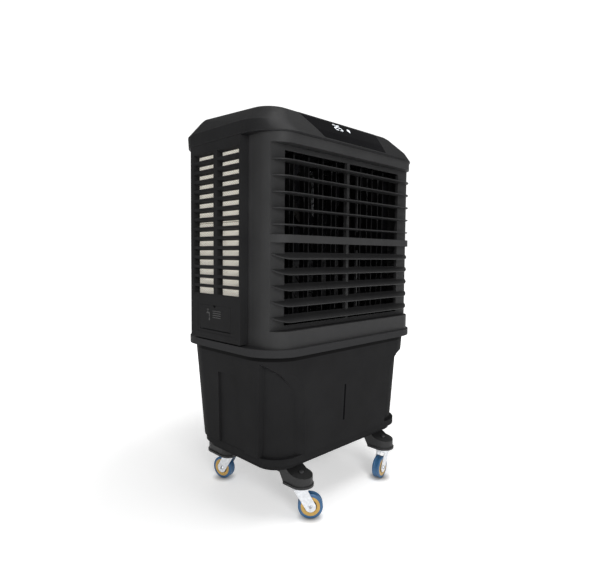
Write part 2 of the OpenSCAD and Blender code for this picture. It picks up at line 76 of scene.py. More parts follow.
class Value:
    """A number socket that takes part in Python arithmetic by adding Math nodes."""

    def __init__(self, paint: "Paint", socket: bpy.types.NodeSocket) -> None:
        """Wraps a socket.

        Args:
            paint: The material under construction that owns the socket.
            socket: An output socket that carries one number.
        """
        self.paint = paint
        self.socket = socket

    def _math(self, operation: str, first: object, second: object) -> "Value":
        """Adds a Math node.

        Args:
            operation: Blender's name of the operation.
            first: Left operand, a number or a Value.
            second: Right operand, a number or a Value.

        Returns:
            The node's result.
        """
        node = self.paint.node("ShaderNodeMath", {"operation": operation}, {0: first, 1: second})
        return Value(self.paint, node.outputs[0])

    def __add__(self, other: object) -> "Value":
        """Returns self + other."""
        return self._math("ADD", self, other)

    def __radd__(self, other: object) -> "Value":
        """Returns other + self."""
        return self._math("ADD", other, self)

    def __sub__(self, other: object) -> "Value":
        """Returns self - other."""
        return self._math("SUBTRACT", self, other)

    def __rsub__(self, other: object) -> "Value":
        """Returns other - self."""
        return self._math("SUBTRACT", other, self)

    def __mul__(self, other: object) -> "Value":
        """Returns self * other."""
        return self._math("MULTIPLY", self, other)

    def __rmul__(self, other: object) -> "Value":
        """Returns other * self."""
        return self._math("MULTIPLY", other, self)

    def above(self, limit: float) -> "Value":
        """Returns 1 where the value is over limit, and 0 elsewhere."""
        return self._math("GREATER_THAN", self, limit)

    def ramp(self, low: float, high: float) -> "Value":
        """Stretches a band of values to 0..1 and clamps the rest.

        Args:
            low: The value that becomes 0.
            high: The value that becomes 1.

        Returns:
            The stretched value.
        """
        node = self.paint.node("ShaderNodeMapRange", {"clamp": True},
                               {"Value": self, "From Min": low, "From Max": high})
        return Value(self.paint, node.outputs[0])


class Paint:
    """One node material under construction."""

    def __init__(self, name: str) -> None:
        """Starts an empty material.

        Args:
            name: The material's name.
        """
        self.material = bpy.data.materials.new(name)
        self.material.use_nodes = True
        self.tree = self.material.node_tree
        self.shader = self.tree.nodes["Principled BSDF"]
        self.place = self.node("ShaderNodeTexCoord", {}, {}).outputs["Object"]

    def node(self, kind: str, settings: dict, inputs: dict) -> bpy.types.Node:
        """Adds a node, sets it up and feeds it.

        Args:
            kind: Blender's node type.
            settings: The node's own properties, set first.
            inputs: Socket names or numbers to numbers, vectors, Values or sockets.

        Returns:
            The new node.
        """
        made = self.tree.nodes.new(kind)
        for key, value in settings.items():
            if key == "stops":
                for element, (at, colour) in zip(made.color_ramp.elements, value):
                    element.position, element.color = at, (*colour, 1.0)
            else:
                setattr(made, key, value)
        for key, value in inputs.items():
            self.feed(made.inputs[key], value)
        return made

    def feed(self, socket: bpy.types.NodeSocket, value: object) -> None:
        """Links or sets one input socket.

        Args:
            socket: The socket to fill.
            value: A Value, a socket or a constant.
        """
        if isinstance(value, Value):
            value = value.socket
        if isinstance(value, bpy.types.NodeSocket):
            self.tree.links.new(value, socket)
        elif isinstance(value, (tuple, list)) and len(value) == 3 and socket.type == "RGBA":
            socket.default_value = (*value, 1.0)
        else:
            socket.default_value = value

    def noise(self, scale: float, detail: float = 3.0, stretch: Point = (1, 1, 1)) -> Value:
        """Adds cloudy noise on the object's own coordinates.

        Args:
            scale: Clouds per metre.
            detail: Octaves.
            stretch: Scale along each axis.

        Returns:
            The noise, about 0.5 on average.
        """
        where = self.node("ShaderNodeMapping", {}, {"Vector": self.place, "Scale": stretch})
        made = self.node("ShaderNodeTexNoise", {},
                         {"Vector": where.outputs[0], "Scale": scale, "Detail": detail})
        return Value(self, made.outputs[0])

    def axis(self, name: str) -> Value:
        """Returns one of the object's own coordinates, named X, Y or Z, in metres."""
        return Value(self, self.node("ShaderNodeSeparateXYZ", {}, {0: self.place}).outputs[name])

    def blend(self, factor: object, first: object, second: object) -> bpy.types.NodeSocket:
        """Mixes two colours.

        Args:
            factor: 0 for the first colour, 1 for the second.
            first: A colour or a colour socket.
            second: A colour or a colour socket.

        Returns:
            The mixed colour's socket.
        """
        mix = self.tree.nodes.new("ShaderNodeMix")
        mix.data_type = "RGBA"
        self.feed(mix.inputs[0], factor)
        self.feed(mix.inputs[6], first)
        self.feed(mix.inputs[7], second)
        return mix.outputs[2]

    def bump(self, height: Value, strength: float, depth: float) -> None:
        """Feeds a height through Bump into the shader's Normal.

        Args:
            height: The surface's height pattern.
            strength: Bump strength, 0 to 1.
            depth: Height of the pattern in metres.
        """
        node = self.node("ShaderNodeBump", {}, {"Height": height, "Strength": strength, "Distance": depth})
        self.feed(self.shader.inputs["Normal"], node.outputs[0])

    def set(self, **values: object) -> None:
        """Feeds the shader's sockets; underscores in the names stand for spaces."""
        for key, value in values.items():
            self.feed(self.shader.inputs[key.replace("_", " ")], value)


# ------------------------------------------------------------------- finishes


@dataclass(frozen=True)
class MouldedPlastic:
    """Spark-eroded moulded plastic with a fine grain and faint cloudiness, and optional Z bands of painted light
    and shade.
    """

    name: str
    colour: Colour
    roughness: float = 0.5
    grain: float = 0.35
    specular: float = 0.5
    painted_light_bands: Tuple[Tuple[float, float, float], ...] = ()

    def build(self) -> bpy.types.Material:
        """Returns the finished material."""
        paint = Paint(self.name)
        cloud, dust = paint.noise(7.0, 4.0), paint.noise(55.0, 3.0)
        light = tuple(c * 1.10 for c in self.colour)
        dark = tuple(c * 0.92 for c in self.colour)
        tone = cloud.ramp(0.34, 0.66)
        base = paint.blend(tone, dark, light)
        speck = paint.noise(900.0, 1.0).ramp(0.62, 0.78)
        base = paint.blend(speck * 0.35, base, tuple(c * 1.8 for c in self.colour))
        # Painted light and shade: each Z band from low to high multiplies the colour by factor, so a band paints a
        # lit strip or a shadow into the colour.
        for low, high, factor in self.painted_light_bands:
            height = paint.axis("Z")
            painted_band = height.ramp(low - 0.001, low) * (1.0 - height.ramp(high, high + 0.001))
            base = paint.blend(painted_band, base, tuple(c * factor for c in self.colour))
        paint.set(Base_Color=base, Roughness=dust * 0.12 + cloud * 0.10 + (self.roughness - 0.11))
        paint.set(Specular_IOR_Level=self.specular)
        grain = paint.noise(1300.0, 2.0) * 0.7 + paint.noise(420.0, 2.0) * 0.3
        paint.bump(grain, self.grain, 0.0006)
        return paint.material


@dataclass(frozen=True)
class GlossPanel:
    """Black glossy sheet with a clear coat and light smudges."""

    name: str
    colour: Colour

    def build(self) -> bpy.types.Material:
        """Returns the finished material."""
        paint = Paint(self.name)
        smudge = paint.noise(14.0, 5.0)
        paint.set(Base_Color=paint.blend(smudge, self.colour, tuple(c * 1.5 for c in self.colour)),
                  Roughness=smudge.ramp(0.45, 0.75) * 0.10 + 0.07,
                  Coat_Weight=smudge * 0.03, Coat_Roughness=0.06, Specular_IOR_Level=0.1, IOR=1.12)
        paint.bump(paint.noise(30.0, 1.0), 0.04, 0.0004)
        return paint.material


@dataclass(frozen=True)
class PlatedSteel:
    """Zinc plate: pale, slightly mottled, with drawn streaks."""

    name: str
    colour: Colour
    roughness: float = 0.34
    metallic: float = 0.85

    def build(self) -> bpy.types.Material:
        """Returns the finished material."""
        paint = Paint(self.name)
        spangle, streak = paint.noise(90.0, 3.0), paint.noise(60.0, 2.0, (1.0, 1.0, 9.0))
        dull = tuple(c * 0.78 for c in self.colour)
        paint.set(Base_Color=paint.blend(spangle.ramp(0.3, 0.7), dull, self.colour),
                  Roughness=streak * 0.22 + (self.roughness - 0.11), Metallic=self.metallic)
        paint.bump(streak * 0.6 + spangle * 0.4, 0.12, 0.0004)
        return paint.material


@dataclass(frozen=True)
class FibrePad:
    """Corrugated fibre sheets glued crosswise, in their own colour at the intake face, painted near black as shade
    over the rest of the pad, and given a painted glow.
    """

    name: str
    colour: Colour
    flute: float = 0.0075
    skin: float = 0.452
    rear_skin: float = 0.286
    # lift is the strength of the pad's painted glow.
    lift: float = 0.22

    def build(self) -> bpy.types.Material:
        """Returns the finished material."""
        paint = Paint(self.name)
        turned = paint.node("ShaderNodeMapping", {},
                            {"Vector": paint.place, "Rotation": (math.radians(38), 0.0, math.radians(12))})
        bands = paint.node("ShaderNodeTexWave", {"wave_type": "BANDS", "bands_direction": "Z"},
                           {"Vector": turned.outputs[0], "Scale": 0.314 / self.flute, "Distortion": 2.6,
                            "Detail": 2.0, "Detail Scale": 1.6})
        wave = Value(paint, bands.outputs[1])
        fuzz, patch = paint.noise(420.0, 4.0), paint.noise(9.0, 3.0)
        shade = wave * 0.55 + fuzz * 0.30 + patch * 0.15
        low = tuple(c * 0.60 for c in self.colour)
        high = tuple(min(1.0, c * 1.12) for c in self.colour)
        # Painted shade: only the intake faces (|X| over skin, or Y over rear_skin) keep the pad's colour; the rest
        # of the pad, inside the housing, is painted near black (colour times 0.008).
        side = paint.node("ShaderNodeMath", {"operation": "ABSOLUTE"}, {0: paint.axis("X")}).outputs[0]
        skin = Value(paint, side).above(self.skin) + paint.axis("Y").above(self.rear_skin)
        face = paint.blend(shade.ramp(0.18, 0.72), low, high)
        tone = paint.blend(skin, tuple(c * 0.008 for c in self.colour), face)
        # Painted glow: the pad emits its own tone at strength lift, though it is no lamp.
        paint.set(Base_Color=tone, Roughness=fuzz * 0.1 + 0.85, Emission_Color=tone, Emission_Strength=self.lift)
        paint.bump(wave * 0.7 + fuzz * 0.3, 0.8, 0.003)
        return paint.material


@dataclass(frozen=True)
class SoftTyre:
    """Cast polyurethane or rubber: smooth, slightly dusty."""

    name: str
    colour: Colour
    roughness: float = 0.42

    def build(self) -> bpy.types.Material:
        """Returns the finished material."""
        paint = Paint(self.name)
        dust, mottle = paint.noise(120.0, 4.0), paint.noise(35.0, 3.0)
        pale = tuple(c * 0.9 + 0.04 for c in self.colour)
        base = paint.blend(mottle.ramp(0.3, 0.7), tuple(c * 0.82 for c in self.colour), self.colour)
        base = paint.blend(dust.ramp(0.55, 0.8) * 0.30, base, pale)
        paint.set(Base_Color=base, Roughness=dust * 0.20 + (self.roughness - 0.1))
        paint.bump(dust, 0.15, 0.0005)
        return paint.material


@dataclass(frozen=True)
class CoatedMetal:
    """Painted or cast metal with orange peel."""

    name: str
    colour: Colour
    roughness: float = 0.45
    metallic: float = 0.0

    def build(self) -> bpy.types.Material:
        """Returns the finished material."""
        paint = Paint(self.name)
        peel, stain = paint.noise(260.0, 2.0), paint.noise(12.0, 4.0)
        base = paint.blend(stain.ramp(0.35, 0.7), self.colour, tuple(c * 0.78 for c in self.colour))
        paint.set(Base_Color=base, Roughness=stain * 0.15 + (self.roughness - 0.07), Metallic=self.metallic)
        paint.bump(peel, 0.2, 0.0004)
        return paint.material


@dataclass(frozen=True)
class LitMark:
    """Printed or lit symbol on the touch panel."""

    name: str
    colour: Colour
    glow: float = 0.6

    def build(self) -> bpy.types.Material:
        """Returns the finished material."""
        paint = Paint(self.name)
        uneven = paint.noise(300.0, 2.0)
        tone = paint.blend(uneven, tuple(c * 0.85 for c in self.colour), self.colour)
        paint.set(Base_Color=tone, Emission_Color=tone, Roughness=uneven * 0.1 + 0.3, Emission_Strength=self.glow)
        return paint.material


class Finish(Enum):
    """Every finish on the cooler."""

    BEZEL = MouldedPlastic("bezel_charcoal", (0.026, 0.026, 0.0265), 0.52, 0.22, 0.12)
    LOUVER = MouldedPlastic("louver_charcoal", (0.020, 0.020, 0.0205), 0.50, 0.20, 0.14)
    # The vanes' charcoal is darkened far below the louvers': painted shade for the dark inside of the outlet.
    VANE = MouldedPlastic("vane_charcoal", (0.0045, 0.0045, 0.005), 0.42, 0.20, 0.20)
    BODY = MouldedPlastic("body_charcoal", (0.030, 0.030, 0.0305), 0.55, 0.25, 0.12)
    COVER = MouldedPlastic("cover_charcoal", (0.012, 0.012, 0.0125), 0.52, 0.22, 0.09)
    GRILLE = MouldedPlastic("grille_charcoal", (0.016, 0.016, 0.0165), 0.54, 0.25, 0.02)
    # Tank Z bands: the band at 1.9 is a painted highlight on the rim, and the band at 0.35 just under the rim is a
    # painted shadow.
    TANK = MouldedPlastic("tank_charcoal", (0.014, 0.014, 0.0145), 0.54, 0.25, 0.02,
                          ((0.660, 0.690, 1.9), (0.640, 0.657, 0.35)))
    RAIL = MouldedPlastic("rail_charcoal", (0.023, 0.023, 0.0235), 0.46, 0.25, 0.25)
    FAN = MouldedPlastic("fan_black", (0.006, 0.006, 0.007), 0.40, 0.20, 0.25)
    FITTING = MouldedPlastic("fitting_black", (0.016, 0.016, 0.017), 0.45, 0.25, 0.5)
    PIPE = MouldedPlastic("pipe_white", (0.30, 0.31, 0.32), 0.38, 0.10, 0.4)
    VALVE = MouldedPlastic("valve_white", (0.70, 0.70, 0.69), 0.30, 0.08, 0.5)
    PANEL = GlossPanel("touch_panel", (0.003, 0.003, 0.0035))
    WINDOW = GlossPanel("level_window", (0.0015, 0.0015, 0.002))
    ZINC = PlatedSteel("white_zinc", (0.80, 0.82, 0.85))
    BOLT = PlatedSteel("dark_bolt", (0.10, 0.10, 0.105), 0.42, 0.6)
    AXLE = PlatedSteel("axle_steel", (0.45, 0.45, 0.46), 0.36, 0.9)
    BRASS = PlatedSteel("brass_thread", (0.62, 0.47, 0.20), 0.30, 1.0)
    PAD = FibrePad("corrugated_pad", (0.94, 0.86, 0.76))
    TYRE = SoftTyre("tyre_blue", (0.030, 0.110, 0.235), 0.42)
    CORE = SoftTyre("core_yellow", (0.56, 0.34, 0.075), 0.38)
    HUB = SoftTyre("hub_dark", (0.030, 0.030, 0.032), 0.5)
    MOTOR = CoatedMetal("motor_grey", (0.16, 0.17, 0.18), 0.42, 0.1)
    GUARD = CoatedMetal("guard_black", (0.008, 0.008, 0.009), 0.40, 0.2)
    MARK = LitMark("panel_mark", (0.80, 0.84, 0.88), 0.9)
    PRINT = LitMark("door_print", (0.002, 0.002, 0.002), 0.0)

    def material(self) -> bpy.types.Material:
        """Returns the finish's material, building it once."""
        return bpy.data.materials.get(self.value.name) or self.value.build()


# ---------------------------------------------------------------- bench tools


class Bench:
    """Modelling steps shared by all the sub-assemblies."""

    @staticmethod
    def only(piece: bpy.types.Object) -> None:
        """Deselects everything, then selects one piece and makes it active."""
        bpy.ops.object.select_all(action="DESELECT")
        piece.select_set(True)
        bpy.context.view_layer.objects.active = piece

    @staticmethod
    def box(name: str, low: Sequence[float], high: Sequence[float]) -> bpy.types.Object:
        """Makes a box.

        Args:
            name: The piece's name.
            low: Lowest corner.
            high: Highest corner.

        Returns:
            The new piece.
        """
        bpy.ops.object.select_all(action="DESELECT")
        size = [b - a for a, b in zip(low, high)]
        bpy.ops.mesh.primitive_cube_add(size=1, location=[(a + b) / 2 for a, b in zip(low, high)])
        piece = bpy.context.object
        piece.name = name
        piece.scale = size
        bpy.ops.object.transform_apply(location=True, rotation=True, scale=True)
        return piece

    @staticmethod
    def disc(name: str, centre: Sequence[float], along: Sequence[float], radius: float, depth: float,
             sides: int = 48) -> bpy.types.Object:
        """Makes a closed cylinder.

        Args:
            name: The piece's name.
            centre: Its middle.
            along: Direction of its axis.
            radius: Its radius.
            depth: Its length along the axis.
            sides: Faces around it.

        Returns:
            The new piece.
        """
        bpy.ops.object.select_all(action="DESELECT")
        turn = Vector(along).to_track_quat("Z", "Y").to_euler()
        bpy.ops.mesh.primitive_cylinder_add(vertices=sides, radius=radius, depth=depth,
                                            location=centre, rotation=turn)
        piece = bpy.context.object
        piece.name = name
        bpy.ops.object.transform_apply(location=True, rotation=True, scale=True)
        return piece

    @staticmethod
    def modifier(piece: bpy.types.Object, kind: str, **settings: object) -> None:
        """Adds a modifier and applies it.

        Args:
            piece: The piece to change.
            kind: Blender's modifier type.
            **settings: The modifier's own properties.
        """
        Bench.only(piece)
        made = piece.modifiers.new(kind.lower(), kind)
        for key, value in settings.items():
            setattr(made, key, value)
        bpy.ops.object.modifier_apply(modifier=made.name)

    @staticmethod
    def smooth(piece: bpy.types.Object, degrees: float = 32.0) -> None:
        """Shades a piece smooth across edges flatter than an angle."""
        Bench.only(piece)
        bpy.ops.object.shade_smooth_by_angle(angle=math.radians(degrees))

    @staticmethod
    def pick(piece: bpy.types.Object, test: Callable[[Vector, Vector], bool]) -> int:
        """Selects faces by their centre and normal, leaving object mode as it was.

        Args:
            piece: The piece whose faces are picked.
            test: Takes a face's centre and normal, and says whether it is picked.

        Returns:
            How many faces are picked.
        """
        mesh = piece.data
        for group in (mesh.vertices, mesh.edges, mesh.polygons):
            group.foreach_set("select", [False] * len(group))
        count = 0
        for face in mesh.polygons:
            face.select = test(face.center, face.normal)
            count += face.select
        return count

    @staticmethod
    def shape(piece: bpy.types.Object, test: Callable[[Vector, Vector], bool],
              *steps: Callable[[], object]) -> None:
        """Runs edit-mode steps on picked faces.

        Args:
            piece: The piece to shape.
            test: Picks faces, as in pick.
            *steps: Operator calls without arguments, run in edit mode.
        """
        Bench.only(piece)
        Bench.pick(piece, test)
        bpy.ops.object.mode_set(mode="EDIT")
        bpy.ops.mesh.select_mode(type="FACE")
        for step in steps:
            step()
        bpy.ops.object.mode_set(mode="OBJECT")

    @staticmethod
    def soften(node: str, width: float, limit: float = 38.0, smooth: float = 32.0) -> bpy.types.Object:
        """Copies a CAD node, joins its faces and rounds its sharp edges.

        Args:
            node: The CAD node, which the new piece stands for.
            width: Rounding of the edges.
            limit: Edges sharper than this many degrees are rounded.
            smooth: Edges flatter than this many degrees are shaded smooth.

        Returns:
            The new piece, riding on the node's body.
        """
        source = frame["nodes"][node]
        piece = bpy.data.objects.new(f"{node}_skin", source.data.copy())
        bpy.context.scene.collection.objects.link(piece)
        Bench.only(piece)
        bpy.ops.mesh.customdata_custom_splitnormals_clear()
        bpy.ops.object.mode_set(mode="EDIT")
        bpy.ops.mesh.select_all(action="SELECT")
        bpy.ops.mesh.remove_doubles(threshold=0.000004)
        bpy.ops.mesh.dissolve_limited(angle_limit=math.radians(0.6))
        bpy.ops.object.mode_set(mode="OBJECT")
        if width:
            Bench.modifier(piece, "BEVEL", width=width, segments=2, limit_method="ANGLE",
                           angle_limit=math.radians(limit), use_clamp_overlap=True)
        Bench.smooth(piece, smooth)
        Bench.modifier(piece, "WEIGHTED_NORMAL", mode="FACE_AREA", weight=80, keep_sharp=True)
        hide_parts(node)
        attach(piece, source["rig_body"])
        return piece

    @staticmethod
    def dress(piece: bpy.types.Object, finish: Finish, slot: Optional[str] = None) -> None:
        """Gives a piece one finish all over.

        Args:
            piece: The piece.
            finish: Its finish.
            slot: Not used; the record's material slot meant for the piece, or None for a CAD node.
        """
        if len(piece.data.materials) == 0:
            piece.data.materials.append(finish.material())
        for place in piece.material_slots:
            place.material = finish.material()
        log.info("%s: %d faces, %s", piece.name, len(piece.data.polygons), finish.name.lower())

    @staticmethod
    def add(piece: bpy.types.Object, body: str, finish: Finish, slot: str, smooth: float = 32.0) -> None:
        """Shades, dresses and mounts a new piece.

        Args:
            piece: The piece.
            body: The CAD body it rides on.
            finish: Its finish.
            slot: The record's material slot; passed to dress, which does not use it.
            smooth: Edges flatter than this many degrees are shaded smooth.
        """
        Bench.smooth(piece, smooth)
        Bench.dress(piece, finish, slot)
        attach(piece, body)


# -------------------------------------------------------------- sub-assemblies


@dataclass
class Shells:
    """Large mouldings: bezel, body, cover, tank and foot rails."""

    edge: float = 0.0016

    def build(self) -> None:
        """Rounds and dresses every shell."""
        for node, finish, slot, width in (
            ("front_bezel", Finish.BEZEL, "bezel_plastic", 0.0012),
            ("body_frame", Finish.BODY, "body_plastic", self.edge),
            ("tank", Finish.TANK, "tank_plastic", self.edge),
            ("foot_rail_left", Finish.RAIL, "body_plastic", 0.0022),
            ("foot_rail_right", Finish.RAIL, "body_plastic", 0.0022),
            ("top_cover", Finish.COVER, "cover_plastic", self.edge),
        ):
            tapered = node in ("top_cover", "tank")
            piece = Bench.soften(node, width, limit=50.0 if tapered else 38.0, smooth=17.0 if tapered else 32.0)
            Bench.dress(piece, finish, slot)


@dataclass
class AirOutlet:
    """Louvers, swing vanes and their link bars."""

    rounding: float = 0.0012

    def build(self) -> None:
        """Rounds and dresses the louvers and dresses what moves with them."""
        for group in ("upper", "lower"):
            for index in range(1, 6):
                piece = Bench.soften(f"{group}_louver_{index}", self.rounding)
                Bench.dress(piece, Finish.LOUVER, "louver_plastic")
            Bench.dress(frame["nodes"][f"{group}_link"], Finish.FITTING)
        for index in range(1, 9):
            Bench.dress(frame["nodes"][f"vane_{index}"], Finish.VANE)
        Bench.dress(frame["nodes"]["vane_link"], Finish.FITTING)


@dataclass
class IntakePanels:
    """Side and rear grilles with their pads and the water door."""

    rounding: float = 0.0012

    def build(self) -> None:
        """Rounds and dresses the panels and their pads."""
        for side in ("left", "right", "rear"):
            Bench.dress(Bench.soften(f"{side}_grille", self.rounding), Finish.GRILLE, "grille_plastic")
            Bench.dress(frame["nodes"][f"{side}_pad"], Finish.PAD)
        Bench.dress(Bench.soften("water_door", 0.0008), Finish.GRILLE, "grille_plastic")


class Corner(Enum):
    """The castors, by corner."""

    FRONT_LEFT = "front_left"
    FRONT_RIGHT = "front_right"
    REAR_LEFT = "rear_left"
    REAR_RIGHT = "rear_right"


@dataclass
class Castor:
    """One swivel castor: plated fork, two-colour wheel and the bolt through it."""

    corner: Corner
    tyre: float = 0.0495
    ring: float = 0.0385
    recess: float = 0.0255
    hub: float = 0.0120
    width: float = 0.030
    cuts: tuple = (-0.0080, -0.0060, -0.0040, 0.0040, 0.0060, 0.0080)
    grooves: tuple = ((-0.0060, -0.0040), (0.0040, 0.0060))
    groove_depth: float = 0.0016
    shoulder: Tuple[float, float] = (0.0050, 0.0020)
    lip: Tuple[float, float] = (0.0008, -0.0006)
    well: Tuple[float, float] = (0.0014, -0.0065)
    boss: Tuple[float, float] = (0.0010, 0.0050)
    nut: float = 0.0052
    nut_depth: float = 0.0020
    nut_reach: float = 0.0243
    nut_dome: Tuple[float, float] = (0.0018, 0.0007)

    def build(self) -> None:
        """Rounds the fork, turns the wheel and fits the axle's nuts."""
        name = self.corner.value
        joint = next(j for j in frame["joints"] if j["name"] == f"{name}_roll")
        self.middle, self.axle = Vector(joint["pos_m"]), Vector(joint["axis"]).normalized()
        Bench.dress(Bench.soften(f"fork_{name}", 0.0006), Finish.ZINC, "zinc")
        self.wheel(name)
        self.nuts(name)

    def wheel(self, name: str) -> None:
        """Turns a wheel from a disc: grooved tyre, yellow core, dark recess and hub.

        Args:
            name: The castor's corner.
        """
        wheel = Bench.disc(f"castor_wheel_{name}", self.middle, self.axle, self.tyre, self.width, 64)
        for step in self.cuts:
            Bench.shape(wheel, lambda c, n: True, lambda at=step: bpy.ops.mesh.bisect(
                plane_co=self.middle + self.axle * at, plane_no=self.axle))
        for low, high in self.grooves:
            Bench.shape(wheel, lambda c, n, a=low, b=high: a < self.along(c) < b and abs(n.dot(self.axle)) < 0.5,
                        lambda: bpy.ops.transform.shrink_fatten(value=-self.groove_depth))
        for end in (-1, 1):
            for inset, push in (self.shoulder, (self.tyre - self.ring - self.shoulder[0], 0.0), self.lip,
                                (self.ring - self.recess - self.lip[0], 0.0), self.well,
                                (self.recess - self.hub - self.well[0], 0.0), self.boss):
                Bench.shape(wheel, lambda c, n, e=end: n.dot(self.axle) * e > 0.9 and self.out(c) < 0.002,
                            lambda i=inset: bpy.ops.mesh.inset(thickness=i, use_even_offset=True),
                            lambda p=push, e=end: bpy.ops.transform.translate(value=self.axle * (p * e)))
        Bench.modifier(wheel, "BEVEL", width=0.0007, segments=2, limit_method="ANGLE", angle_limit=math.radians(30))
        Bench.smooth(wheel, 40.0)
        for finish in (Finish.TYRE, Finish.CORE, Finish.HUB):
            wheel.data.materials.append(finish.material())
        for face in wheel.data.polygons:
            out = self.out(face.center)
            face.material_index = 0 if out > self.ring - 0.0004 else 1 if out > self.recess - 0.0012 else 2
        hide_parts(f"wheel_{name}")
        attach(wheel, f"wheel_{name}")
        log.info("castor_wheel_%s turned", name)

    def nuts(self, name: str) -> None:
        """Puts a domed nut on each end of the axle.

        Args:
            name: The castor's corner.
        """
        for end in (-1, 1):
            spot = self.middle + self.axle * (self.nut_reach * end)
            nut = Bench.disc(f"axle_nut_{name}_{'a' if end < 0 else 'b'}", spot, self.axle,
                             self.nut, self.nut_depth, 16)
            Bench.shape(nut, lambda c, n, e=end: n.dot(self.axle) * e > 0.9,
                        lambda: bpy.ops.mesh.inset(thickness=self.nut_dome[0]),
                        lambda e=end: bpy.ops.transform.translate(value=self.axle * (self.nut_dome[1] * e)))
            Bench.add(nut, f"fork_{name}", Finish.AXLE, "zinc", 50.0)

    def along(self, point: Vector) -> float:
        """Returns a point's distance along the axle from the wheel's middle."""
        return (point - self.middle).dot(self.axle)

    def out(self, point: Vector) -> float:
        """Returns a point's distance from the axle."""
        arm = point - self.middle
        return (arm - self.axle * arm.dot(self.axle)).length


@dataclass
class Markings:
    """Generic digits and symbol on the touch panel, and the tap print on the water door."""

    stroke: float = 0.0032
    lift: float = 0.0004
    above: float = 0.010
    digits: tuple = ((-0.062, "abged"), (-0.036, "acdfg"))
    pitch: Tuple[float, float] = (0.0088, 0.0085)
    level_half: float = 0.0075
    upright_half: float = 0.0068
    symbol_at: float = 0.020
    symbol: float = 0.0085
    symbol_rim: float = 0.0028
    stem: Tuple[float, float] = (0.0018, 0.0040)
    stem_drop: float = 0.0105
    door_face: float = -0.4882
    tap: tuple = (("pipe", (0.062, 0.7985), (0.080, 0.8040)), ("stem", (0.0690, 0.8040), (0.0725, 0.8130)),
                  ("handle", (0.0640, 0.8130), (0.0775, 0.8165)), ("spout", (0.0580, 0.7860), (0.0630, 0.8040)))
    line_low: Tuple[float, float] = (-0.016, 0.7830)
    line_high: Tuple[float, float] = (0.038, 0.7862)
    line_step: float = 0.0085
    drop_at: Tuple[float, float] = (0.0605, 0.7755)
    drop: float = 0.0042
    drop_top: float = 0.7788
    drop_tip: float = 0.0035

    def build(self) -> None:
        """Places the display's marks and the door's print."""
        self.display()
        self.door()

    def display(self) -> None:
        """Lights two seven-segment digits and a round symbol on the panel."""
        panel = frame["nodes"]["control_panel"]
        faces = [f for f in panel.data.polygons if f.normal.y < -0.3 and f.normal.z > 0.3]
        normal = max(faces, key=lambda f: f.area).normal.copy()
        faces = [f for f in faces if f.normal.dot(normal) > 0.999]
        middle = sum((f.center * f.area for f in faces), Vector()) / sum(f.area for f in faces)
        across = Vector((1, 0, 0))
        upward = normal.cross(across).normalized()
        foot = middle + upward * self.above + normal * self.lift
        plan = Matrix((across, upward, normal)).transposed().to_4x4()
        lit = {"a": (0, 2), "b": (1, 1), "c": (1, -1), "d": (0, -2), "e": (-1, -1), "f": (-1, 1), "g": (0, 0)}
        for place, segments in self.digits:
            for key in segments:
                column, row = lit[key]
                level = row % 2 == 0
                half = (self.level_half, self.stroke / 2) if level else (self.stroke / 2, self.upright_half)
                at = foot + across * (place + column * self.pitch[0]) + upward * (row * self.pitch[1])
                self.bar(f"digit_{place * -1000:.0f}_{key}", plan, at, half)
        spot = foot + across * self.symbol_at
        ring = Bench.disc("panel_symbol", spot, normal, self.symbol, 0.0010, 24)
        Bench.shape(ring, lambda c, n: n.dot(normal) > 0.9,
                    lambda: bpy.ops.mesh.inset(thickness=self.symbol_rim),
                    lambda: bpy.ops.transform.translate(value=normal * self.lift))
        Bench.add(ring, "housing", Finish.MARK, "panel_gloss")
        self.bar("panel_symbol_stem", plan, spot - upward * self.stem_drop, self.stem)

    def bar(self, name: str, plan: Matrix, at: Vector, half: Tuple[float, float]) -> None:
        """Lays one bar on the panel's slope.

        Args:
            name: The bar's name.
            plan: Turns the slope's own axes into the frame's.
            at: The bar's middle.
            half: Half of its width and height.
        """
        piece = Bench.box(name, (-half[0], -half[1], -self.lift), (half[0], half[1], self.lift))
        piece.matrix_world = Matrix.Translation(at) @ plan
        Bench.only(piece)
        bpy.ops.object.transform_apply(location=True, rotation=True, scale=True)
        Bench.add(piece, "housing", Finish.MARK, "panel_gloss")

    def door(self) -> None:
        """Prints a tap with a drop, and a plain block, on the water door."""
        face = self.door_face
        lines = ((f"line_{i}", (self.line_low[0], self.line_low[1] + self.line_step * i),
                  (self.line_high[0], self.line_high[1] + self.line_step * i)) for i in range(4))
        for name, low, high in (*self.tap, *lines):
            piece = Bench.box(f"door_tap_{name}", (face - self.lift, low[0], low[1]),
                              (face + self.lift, high[0], high[1]))
            Bench.add(piece, "water_door", Finish.PRINT, "grille_plastic")
        drop = Bench.disc("door_drop", (face, *self.drop_at), (1, 0, 0), self.drop, 2 * self.lift, 20)
        Bench.shape(drop, lambda c, n: abs(n.x) < 0.5 and c.z > self.drop_top,
                    lambda: bpy.ops.transform.translate(value=(0, 0, self.drop_tip)))
        Bench.add(drop, "water_door", Finish.PRINT, "grille_plastic")


@dataclass
class Innards:
    """Fan, motor, water parts and fittings, carried over from the frame."""

    finishes: dict = field(default_factory=lambda: {
        "level_window": Finish.WINDOW, "foot_bolts": Finish.BOLT, "caster_plates": Finish.ZINC,
        "control_panel": Finish.PANEL, "fan_shroud": Finish.FAN, "fan_guard": Finish.GUARD,
        "motor_bracket": Finish.GUARD, "fan_motor": Finish.MOTOR, "fan_rotor": Finish.FAN,
        "swing_motor": Finish.PIPE, "water_distributor": Finish.PIPE, "riser_pipe": Finish.PIPE,
        "pump": Finish.FITTING, "inlet_connector": Finish.BRASS, "float_valve": Finish.VALVE,
        "float_arm": Finish.VALVE, "power_gland": Finish.FITTING, "drain_cap": Finish.FITTING})

    def build(self) -> None:
        """Dresses each node in its finish."""
        for node, finish in self.finishes.items():
            Bench.dress(frame["nodes"][node], finish)


# ----------------------------------------------------------------------- stage


